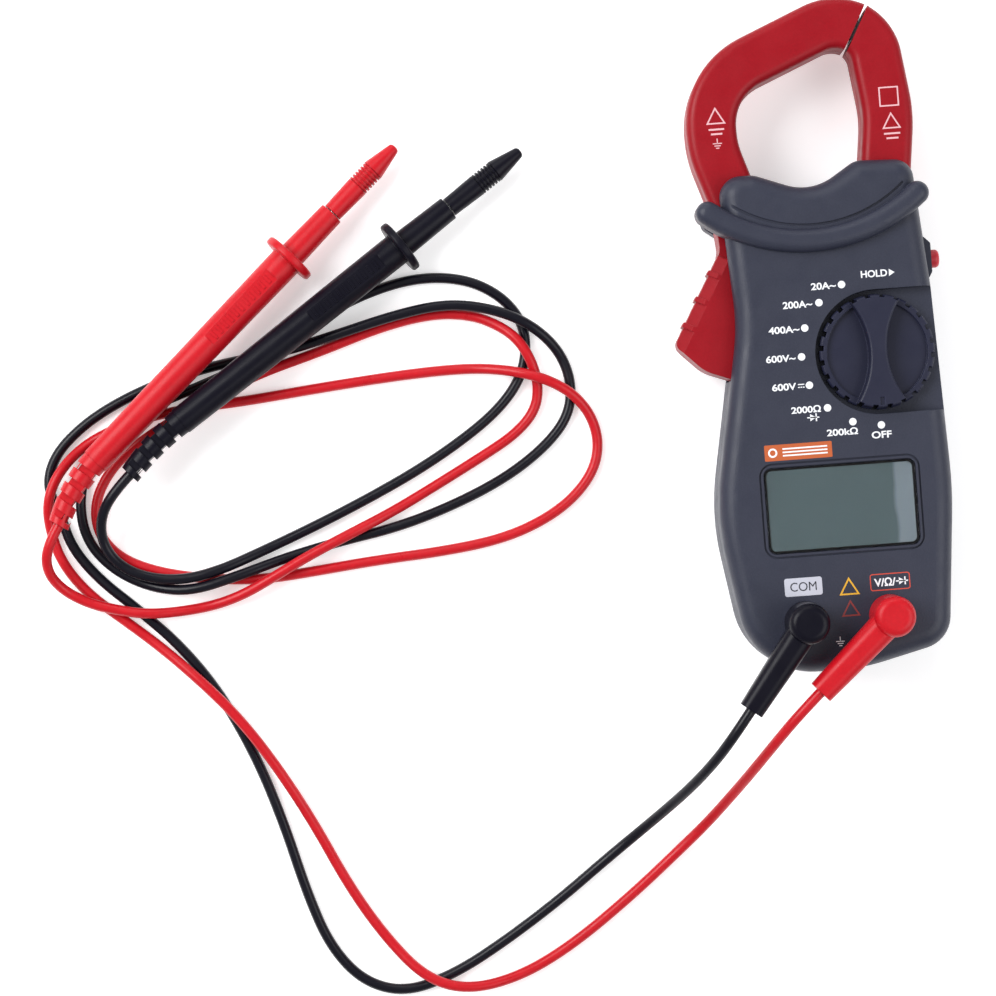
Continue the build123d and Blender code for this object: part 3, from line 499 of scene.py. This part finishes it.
# ---- Printed marks ----
class Print:
    """Flat marks of one ink, gathered into one mesh."""

    def __init__(self, base, thickness=INK):
        self.mesh = bmesh.new()
        self.base = base
        self.thickness = thickness

    def polygon(self, points):
        """Filled outline."""
        low = [self.mesh.verts.new((x, y, self.base - INK)) for x, y in points]
        high = [self.mesh.verts.new((x, y, self.base + self.thickness)) for x, y in points]
        self.mesh.faces.new(low[::-1])
        self.mesh.faces.new(high)
        for i in range(len(points)):
            j = (i + 1) % len(points)
            self.mesh.faces.new((low[i], low[j], high[j], high[i]))

    def ring(self, outer, inner):
        """Band between two outlines with the same number of points."""
        for i in range(len(outer)):
            j = (i + 1) % len(outer)
            self.polygon([outer[i], outer[j], inner[j], inner[i]])

    def bar(self, start, end, width):
        """Straight stroke."""
        run = Vector((end[0] - start[0], end[1] - start[1]))
        side = Vector((-run.y, run.x)).normalized() * width / 2
        a, b = Vector(start), Vector(end)
        self.polygon([tuple(p) for p in (a - side, b - side, b + side, a + side)])

    def dot(self, x, y, radius, sides=24):
        """Filled circle."""
        turns = [2 * math.pi * i / sides for i in range(sides)]
        self.polygon([(x + radius * math.cos(t), y + radius * math.sin(t)) for t in turns])

    def letters(self, words, x0, x1, y, height=CAP, weight=WEIGHT):
        """Lettering that fills a box, thickened by its weight."""
        text = bpy.data.curves.new("letters", "FONT")
        text.body = words
        text.offset = weight
        text.extrude = 0.5
        mesh = mesh_of(text)
        low = Vector([min(v.co[i] for v in mesh.vertices) for i in range(3)])
        high = Vector([max(v.co[i] for v in mesh.vertices) for i in range(3)])
        tall = (INK + self.thickness) / (high.z - low.z)
        fit = Matrix.Diagonal(((x1 - x0) / (high.x - low.x), height / (high.y - low.y), tall, 1))
        place = Matrix.Translation((x0, y - height / 2, self.base - INK))
        mesh.transform(place @ fit @ Matrix.Translation(-low))
        self.mesh.from_mesh(mesh)
        bpy.data.meshes.remove(mesh)

    def finish(self, name, colour, body):
        """The marks as a piece on a body."""
        mesh = bpy.data.meshes.new(name)
        bmesh.ops.recalc_face_normals(self.mesh, faces=self.mesh.faces)
        self.mesh.to_mesh(mesh)
        self.mesh.free()
        return piece(name, mesh, colour, body)


def rounded(x0, x1, y0, y1, radius, steps=6):
    """Outline of a rectangle with rounded corners."""
    points = []
    for cx, cy, turn in ((x1 - radius, y1 - radius, 0), (x0 + radius, y1 - radius, 90),
                         (x0 + radius, y0 + radius, 180), (x1 - radius, y0 + radius, 270)):
        for i in range(steps + 1):
            t = math.radians(turn + 90 * i / steps)
            points.append((cx + radius * math.cos(t), cy + radius * math.sin(t)))
    return points


def triangle(x, y, side, inset=0.0):
    """Upright triangle about the middle of its base."""
    tall = side * math.sqrt(3) / 2
    centre = y + tall / 3
    share = 1 - inset / (tall / 3)
    corners = [(x - side / 2, y), (x + side / 2, y), (x, y + tall)]
    return [(x + (px - x) * share, centre + (py - centre) * share) for px, py in corners]


WHITE = ink("white_ink", srgb(236, 238, 242))
ROSE = ink("rose_ink", srgb(226, 176, 182))
PLATE = ink("plate_ink", srgb(190, 192, 205))
DARK = ink("dark_ink", srgb(40, 42, 52))
ORANGE = ink("orange_ink", srgb(186, 88, 38))
YELLOW = ink("yellow_ink", srgb(224, 170, 38))
BRICK = ink("brick_ink", srgb(132, 46, 44))
OUTLINE_RED = ink("outline_red_ink", srgb(196, 66, 48))

# Ranges of the dial: lettering from x0 to x1 at y, in millimetres, then its dot
RANGES = [("20A~", -0.2, 6.8, 13.2, 8.4, 13.2), ("200A~", -8.5, -0.2, 8.5, 1.7, 8.6),
          ("400A~", -13.0, -4.3, 1.7, -2.8, 1.8), ("600V~", -14.3, -6.0, -6.3, -4.3, -6.2),
          ("600V", -13.2, -6.4, -14.3, -2.7, -14.3), ("2000Ω", -8.3, 0.0, -21.0, 1.9, -21.0),
          ("200kΩ", 1.2, 9.9, -28.0, 8.7, -25.4), ("OFF", 13.7, 19.3, -29.6, 16.6, -26.9)]
white = Print(FACE_Z)
for words, x0, x1, y, dot_x, dot_y in RANGES:
    white.letters(words, x0 * MM, x1 * MM, y * MM)
    white.dot(dot_x * MM, dot_y * MM, DOT_R)
white.bar((-5.9 * MM, -13.9 * MM), (-4.1 * MM, -13.9 * MM), 0.3 * MM)
for k in range(3):
    x = (-5.9 + 0.67 * k) * MM
    white.bar((x, -14.7 * MM), (x + 0.46 * MM, -14.7 * MM), 0.3 * MM)
white.letters("HOLD", 14.0 * MM, 21.4 * MM, 15.6 * MM)
white.polygon([(21.9 * MM, 14.6 * MM), (23.5 * MM, 15.6 * MM), (21.9 * MM, 16.6 * MM)])


def diode(marks, x, y, size):
    """Diode symbol on a short wire."""
    marks.bar((x - size, y), (x + size, y), 0.2 * size)
    marks.polygon([(x - 0.5 * size, y - 0.6 * size), (x + 0.45 * size, y),
                   (x - 0.5 * size, y + 0.6 * size)])
    marks.bar((x + 0.5 * size, y - 0.65 * size), (x + 0.5 * size, y + 0.65 * size), 0.22 * size)


def ground(marks, x, y, size):
    """Earth symbol: a stem over three shrinking strokes."""
    marks.bar((x, y + 1.1 * size), (x, y), 0.22 * size)
    for k in range(3):
        level, reach = y - 0.5 * k * size, (1.0 - 0.32 * k) * size
        marks.bar((x - reach, level), (x + reach, level), 0.22 * size)


diode(white, -2.3 * MM, -23.4 * MM, 1.7 * MM)
white.letters("V/Ω/", 11.3 * MM, 17.3 * MM, -70.9 * MM, 2.4 * MM)
diode(white, 19.1 * MM, -70.9 * MM, 1.7 * MM)
ground(white, 0.6 * MM, -86.6 * MM, 1.2 * MM)
white.finish("white_marks", WHITE, "root")

plate = Print(FACE_Z)
plate.polygon(rounded(-13.9 * MM, -3.3 * MM, -73.1 * MM, -68.0 * MM, 0.7 * MM))
plate.finish("com_plate", PLATE, "root")
word = Print(FACE_Z, 2 * INK)
word.letters("COM", -12.3 * MM, -4.9 * MM, -70.5 * MM, 2.5 * MM, 0.0)
word.finish("com_word", DARK, "root")

band = Print(FACE_Z)
band.polygon(rounded(-16.7 * MM, 2.3 * MM, -34.8 * MM, -30.3 * MM, 0.3 * MM))
band.finish("orange_band", ORANGE, "root")

emblem = Print(FACE_Z, 2 * INK)
emblem.ring(rounded(-15.7 * MM, -13.1 * MM, -33.85 * MM, -31.25 * MM, 1.29 * MM),
            rounded(-15.2 * MM, -13.6 * MM, -33.35 * MM, -31.75 * MM, 0.79 * MM))
for level in (-31.6, -32.55, -33.5):
    emblem.bar((-11.6 * MM, level * MM), (1.0 * MM, level * MM), 0.42 * MM)
emblem.finish("band_emblem", WHITE, "root")

outline = Print(FACE_Z)
outline.ring(rounded(10.1 * MM, 21.4 * MM, -73.3 * MM, -68.5 * MM, 0.8 * MM),
             rounded(10.4 * MM, 21.1 * MM, -73.0 * MM, -68.8 * MM, 0.5 * MM))
outline.finish("jack_outline", OUTLINE_RED, "root")

for name, colour, y, side in (("yellow_mark", YELLOW, -73.8, 5.8), ("brick_mark", BRICK, -79.8, 5.4)):
    mark = Print(FACE_Z)
    mark.ring(triangle(4.2 * MM, y * MM, side * MM), triangle(4.2 * MM, y * MM, side * MM, 0.45 * MM))
    mark.finish(name, colour, "root")

left = Print(JAW_Z)
left.ring(triangle(-22.8 * MM, 61.5 * MM, 5.6 * MM), triangle(-22.8 * MM, 61.5 * MM, 5.6 * MM, 0.4 * MM))
left.bar((-25.0 * MM, 60.0 * MM), (-20.6 * MM, 60.0 * MM), 0.5 * MM)
left.bar((-24.4 * MM, 58.7 * MM), (-21.2 * MM, 58.7 * MM), 0.5 * MM)
ground(left, -22.8 * MM, 56.0 * MM, 1.3 * MM)
left.finish("moving_jaw_mark", ROSE, "moving_jaw")
right = Print(JAW_Z)
right.ring(rounded(23.7 * MM, 29.3 * MM, 62.9 * MM, 68.5 * MM, 0.1 * MM),
           rounded(24.1 * MM, 28.9 * MM, 63.3 * MM, 68.1 * MM, 0.1 * MM))
right.ring(triangle(26.7 * MM, 56.6 * MM, 5.4 * MM), triangle(26.7 * MM, 56.6 * MM, 5.4 * MM, 0.4 * MM))
right.bar((24.4 * MM, 55.2 * MM), (29.0 * MM, 55.2 * MM), 0.5 * MM)
right.bar((25.0 * MM, 53.9 * MM), (28.4 * MM, 53.9 * MM), 0.5 * MM)
right.finish("fixed_jaw_mark", ROSE, "root")
